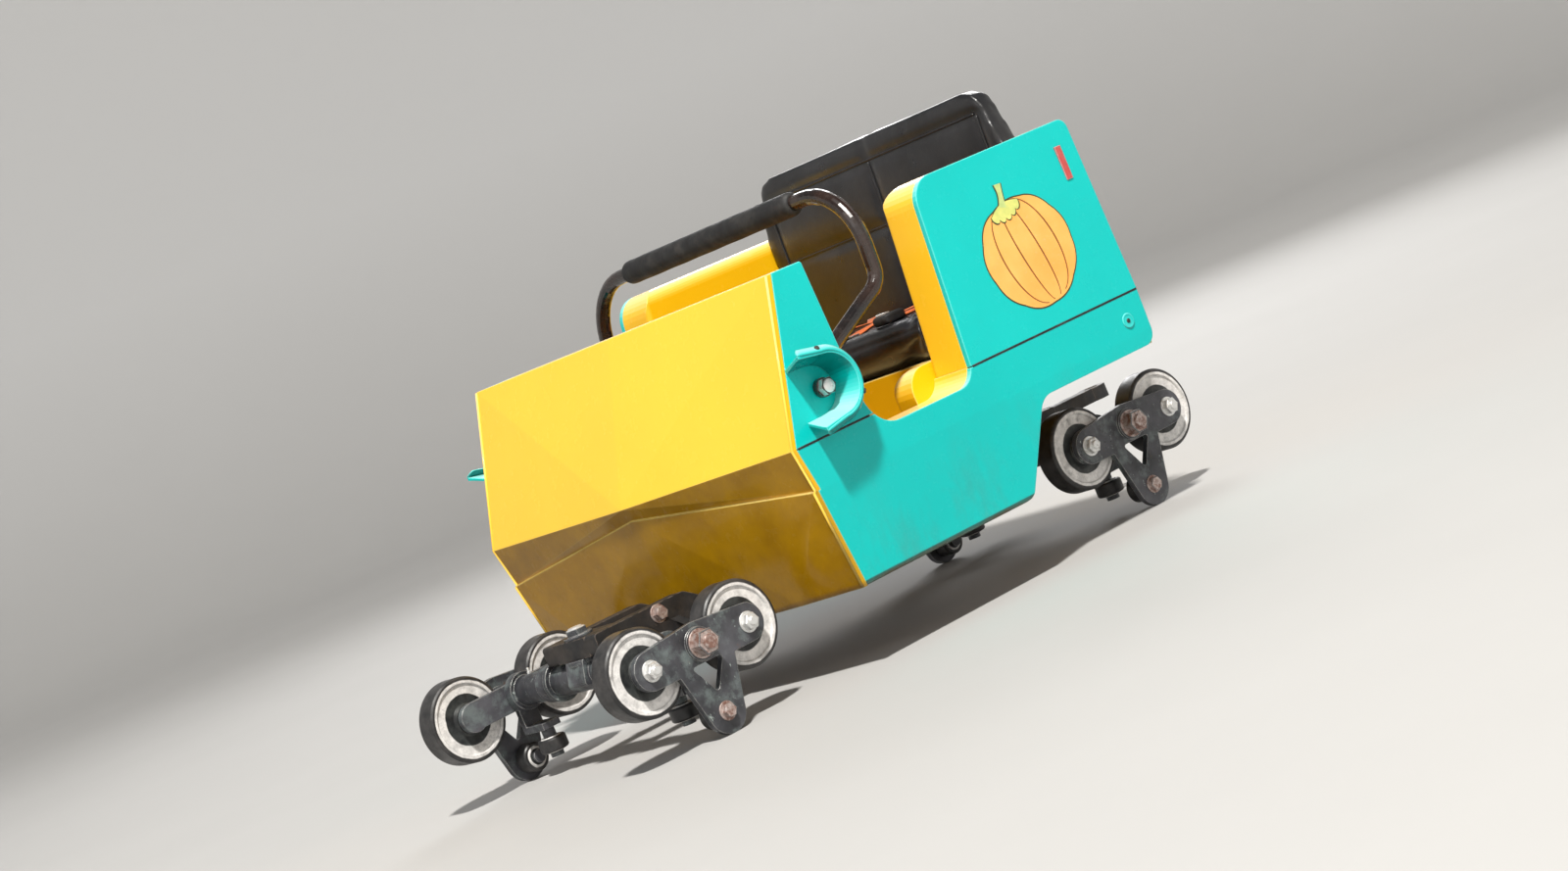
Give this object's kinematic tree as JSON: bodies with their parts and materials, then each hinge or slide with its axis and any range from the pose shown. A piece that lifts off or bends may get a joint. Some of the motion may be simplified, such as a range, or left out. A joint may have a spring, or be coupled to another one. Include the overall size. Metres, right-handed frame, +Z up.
{
  "type": "roller coaster car",
  "caption": "Lead car of a small roller coaster: two-seat glossy tub with cut-away entries and a swinging lap bar, on two steered bogies with running, up-stop and guide rollers.",
  "frame": {"origin": "on the ground plane under the middle of the car's box, with the car standing on the four feet of its up-stop legs", "axes": "+X forward to the nose, +Y to the car's left, +Z up"},
  "size_m": [1.766, 1.202, 0.962],
  "materials": {
    "shell_teal": "gloss",
    "shell_yellow": "gloss",
    "vinyl_black": "satin",
    "belt_orange": "matt",
    "reflector_red": "gloss",
    "frame_steel": "satin",
    "bar_steel": "worn",
    "foam_black": "matt",
    "bogie_steel": "greasy",
    "wheel_black": "worn",
    "roller_black": "worn"
  },
  "bodies": {
    "body": {"chassis_frame": "frame_steel", "front_cowl": "shell_yellow", "side_lower_left": "shell_teal", "side_lower_right": "shell_teal", "front_post_left": "shell_teal", "front_post_right": "shell_teal", "cheek_left": "shell_teal", "cheek_right": "shell_teal", "cheek_liner_left": "shell_yellow", "cheek_liner_right": "shell_yellow", "rear_bulkhead": "shell_yellow", "floor_pan": "shell_yellow", "seat_base": "shell_yellow", "seat_cushion": "vinyl_black", "seat_back": "vinyl_black", "seat_belts": "belt_orange", "pivot_cover_left": "shell_teal", "pivot_cover_right": "shell_teal", "side_reflectors": "reflector_red", "drawbar": "frame_steel"},
    "lap_bar": {"lap_bar_frame": "bar_steel", "lap_bar_pad": "foam_black"},
    "front_bogie": {"front_axle_beam": "bogie_steel", "front_carrier_left": "bogie_steel", "front_carrier_right": "bogie_steel"},
    "rear_bogie": {"rear_axle_beam": "bogie_steel", "rear_carrier_left": "bogie_steel", "rear_carrier_right": "bogie_steel"},
    "front_wheel_left_1": {"front_wheel_left_1": "wheel_black"},
    "front_wheel_left_2": {"front_wheel_left_2": "wheel_black"},
    "front_wheel_right_1": {"front_wheel_right_1": "wheel_black"},
    "front_wheel_right_2": {"front_wheel_right_2": "wheel_black"},
    "front_upstop_left": {"front_upstop_left": "roller_black"},
    "front_guide_left": {"front_guide_left": "roller_black"},
    "front_upstop_right": {"front_upstop_right": "roller_black"},
    "front_guide_right": {"front_guide_right": "roller_black"},
    "rear_wheel_left_1": {"rear_wheel_left_1": "wheel_black"},
    "rear_wheel_left_2": {"rear_wheel_left_2": "wheel_black"},
    "rear_wheel_right_1": {"rear_wheel_right_1": "wheel_black"},
    "rear_wheel_right_2": {"rear_wheel_right_2": "wheel_black"},
    "rear_upstop_left": {"rear_upstop_left": "roller_black"},
    "rear_guide_left": {"rear_guide_left": "roller_black"},
    "rear_upstop_right": {"rear_upstop_right": "roller_black"},
    "rear_guide_right": {"rear_guide_right": "roller_black"}
  },
  "joints": [
    {"name": "lap_bar_hinge", "type": "hinge", "parent": "body", "child": "lap_bar", "pos_m": [0.301, 0, 0.532], "axis": [0, 1, 0], "range_deg": [0, 42]},
    {"name": "front_bogie_steer", "type": "hinge", "parent": "body", "child": "front_bogie", "pos_m": [0.67, 0, 0.2], "axis": [0, 0, 1], "range_deg": [-8, 8]},
    {"name": "rear_bogie_steer", "type": "hinge", "parent": "body", "child": "rear_bogie", "pos_m": [-0.57, 0, 0.2], "axis": [0, 0, 1], "range_deg": [-8, 8]},
    {"name": "front_wheel_left_1_spin", "type": "hinge", "parent": "front_bogie", "child": "front_wheel_left_1", "pos_m": [0.795, 0.318, 0.176], "axis": [0, 1, 0], "continuous": true},
    {"name": "front_wheel_left_2_spin", "type": "hinge", "parent": "front_bogie", "child": "front_wheel_left_2", "pos_m": [0.545, 0.318, 0.176], "axis": [0, 1, 0], "continuous": true},
    {"name": "front_wheel_right_1_spin", "type": "hinge", "parent": "front_bogie", "child": "front_wheel_right_1", "pos_m": [0.795, -0.318, 0.176], "axis": [0, 1, 0], "continuous": true},
    {"name": "front_wheel_right_2_spin", "type": "hinge", "parent": "front_bogie", "child": "front_wheel_right_2", "pos_m": [0.545, -0.318, 0.176], "axis": [0, 1, 0], "continuous": true},
    {"name": "front_upstop_left_spin", "type": "hinge", "parent": "front_bogie", "child": "front_upstop_left", "pos_m": [0.67, 0.3285, 0.044], "axis": [0, 1, 0], "continuous": true},
    {"name": "front_guide_left_spin", "type": "hinge", "parent": "front_bogie", "child": "front_guide_left", "pos_m": [0.67, 0.235, 0.062], "axis": [0, 0, 1], "continuous": true},
    {"name": "front_upstop_right_spin", "type": "hinge", "parent": "front_bogie", "child": "front_upstop_right", "pos_m": [0.67, -0.3285, 0.044], "axis": [0, 1, 0], "continuous": true},
    {"name": "front_guide_right_spin", "type": "hinge", "parent": "front_bogie", "child": "front_guide_right", "pos_m": [0.67, -0.235, 0.062], "axis": [0, 0, 1], "continuous": true},
    {"name": "rear_wheel_left_1_spin", "type": "hinge", "parent": "rear_bogie", "child": "rear_wheel_left_1", "pos_m": [-0.445, 0.318, 0.176], "axis": [0, 1, 0], "continuous": true},
    {"name": "rear_wheel_left_2_spin", "type": "hinge", "parent": "rear_bogie", "child": "rear_wheel_left_2", "pos_m": [-0.695, 0.318, 0.176], "axis": [0, 1, 0], "continuous": true},
    {"name": "rear_wheel_right_1_spin", "type": "hinge", "parent": "rear_bogie", "child": "rear_wheel_right_1", "pos_m": [-0.445, -0.318, 0.176], "axis": [0, 1, 0], "continuous": true},
    {"name": "rear_wheel_right_2_spin", "type": "hinge", "parent": "rear_bogie", "child": "rear_wheel_right_2", "pos_m": [-0.695, -0.318, 0.176], "axis": [0, 1, 0], "continuous": true},
    {"name": "rear_upstop_left_spin", "type": "hinge", "parent": "rear_bogie", "child": "rear_upstop_left", "pos_m": [-0.57, 0.3285, 0.044], "axis": [0, 1, 0], "continuous": true},
    {"name": "rear_guide_left_spin", "type": "hinge", "parent": "rear_bogie", "child": "rear_guide_left", "pos_m": [-0.57, 0.235, 0.062], "axis": [0, 0, 1], "continuous": true},
    {"name": "rear_upstop_right_spin", "type": "hinge", "parent": "rear_bogie", "child": "rear_upstop_right", "pos_m": [-0.57, -0.3285, 0.044], "axis": [0, 1, 0], "continuous": true},
    {"name": "rear_guide_right_spin", "type": "hinge", "parent": "rear_bogie", "child": "rear_guide_right", "pos_m": [-0.57, -0.235, 0.062], "axis": [0, 0, 1], "continuous": true}
  ]
}
